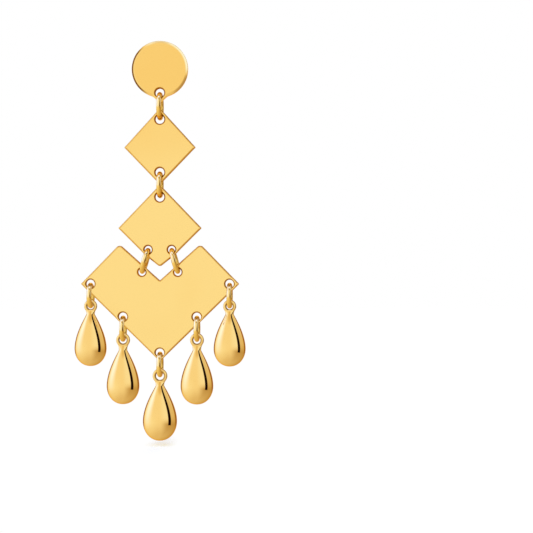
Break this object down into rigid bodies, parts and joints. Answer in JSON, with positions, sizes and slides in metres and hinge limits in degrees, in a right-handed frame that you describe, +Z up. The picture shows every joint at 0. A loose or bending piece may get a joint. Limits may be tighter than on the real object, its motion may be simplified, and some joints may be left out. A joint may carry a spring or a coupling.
{
  "type": "tassel earring",
  "caption": "Long gold-tone drop earring: a disc stud, two square plates set on their corners and a heart-shaped chevron plate linked by jump rings, with a fringe of solid teardrops.",
  "frame": {"origin": "centre of the stud disc's back face, where the ear post leaves it", "axes": "+Z up the hanging earring, -Y out of its front face, +X to the right for someone looking at the front"},
  "size_m": [0.0326, 0.0148, 0.076],
  "materials": {
    "gold_plate": "polished, gold plated sheet",
    "gold_wire": "polished, gold plated wire",
    "gold_cast": "mirror polished, gold plated casting"
  },
  "bodies": {
    "stud": {"stud_disc": "gold_plate"},
    "upper_drop": {"top_ring": "gold_wire", "upper_diamond": "gold_plate"},
    "lower_drop": {"middle_ring": "gold_wire", "lower_diamond": "gold_plate"},
    "chevron_drop": {"hanger_ring_left": "gold_wire", "hanger_ring_right": "gold_wire", "chevron_plate": "gold_plate", "drop_ring_outer_left": "gold_wire", "drop_ring_middle_left": "gold_wire", "drop_ring_centre": "gold_wire", "drop_ring_middle_right": "gold_wire", "drop_ring_outer_right": "gold_wire", "teardrop_outer_left": "gold_cast", "teardrop_middle_left": "gold_cast", "teardrop_centre": "gold_cast", "teardrop_middle_right": "gold_cast", "teardrop_outer_right": "gold_cast"}
  },
  "joints": [
    {"name": "upper_diamond_swing", "type": "hinge", "parent": "stud", "child": "upper_drop", "pos_m": [0, -0.0006, -0.00703], "axis": [1, 0, 0], "range_deg": [-60, 60]},
    {"name": "lower_diamond_swing", "type": "hinge", "parent": "upper_drop", "child": "lower_drop", "pos_m": [0, -0.0006, -0.02195], "axis": [1, 0, 0], "range_deg": [-60, 60]},
    {"name": "chevron_swing", "type": "hinge", "parent": "lower_drop", "child": "chevron_drop", "pos_m": [0, -0.0006, -0.0364], "axis": [1, 0, 0], "range_deg": [-30, 30]}
  ]
}
